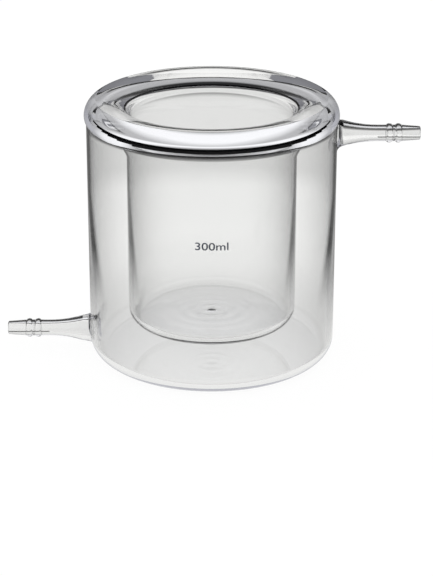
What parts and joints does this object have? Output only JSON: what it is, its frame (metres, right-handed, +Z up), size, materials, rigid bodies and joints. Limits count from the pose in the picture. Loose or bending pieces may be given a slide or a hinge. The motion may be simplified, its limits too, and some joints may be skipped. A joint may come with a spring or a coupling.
{
  "type": "jacketed beaker",
  "caption": "Double-walled glass beaker with a fused ring seal at the mouth and two ridged hose connectors for circulating water through its jacket.",
  "frame": {"origin": "middle of the jacket, on the surface that the beaker stands on", "axes": "+Z up out of the mouth, +X along the upper hose connector, -X along the lower one"},
  "size_m": [0.184, 0.1118, 0.118],
  "materials": {
    "jacket_glass": "clear borosilicate glass, drawn tube, fire polished",
    "seal_glass": "clear borosilicate glass, thick fused ring, fire polished",
    "vessel_glass": "clear borosilicate glass, drawn tube with a blown bottom",
    "connector_glass": "clear borosilicate glass, drawn down and ridged by hand"
  },
  "bodies": {
    "root": {"outer_jacket": "jacket_glass", "ring_seal": "seal_glass", "inner_vessel": "vessel_glass", "outlet_hose_connector": "connector_glass", "inlet_hose_connector": "connector_glass"}
  },
  "joints": []
}
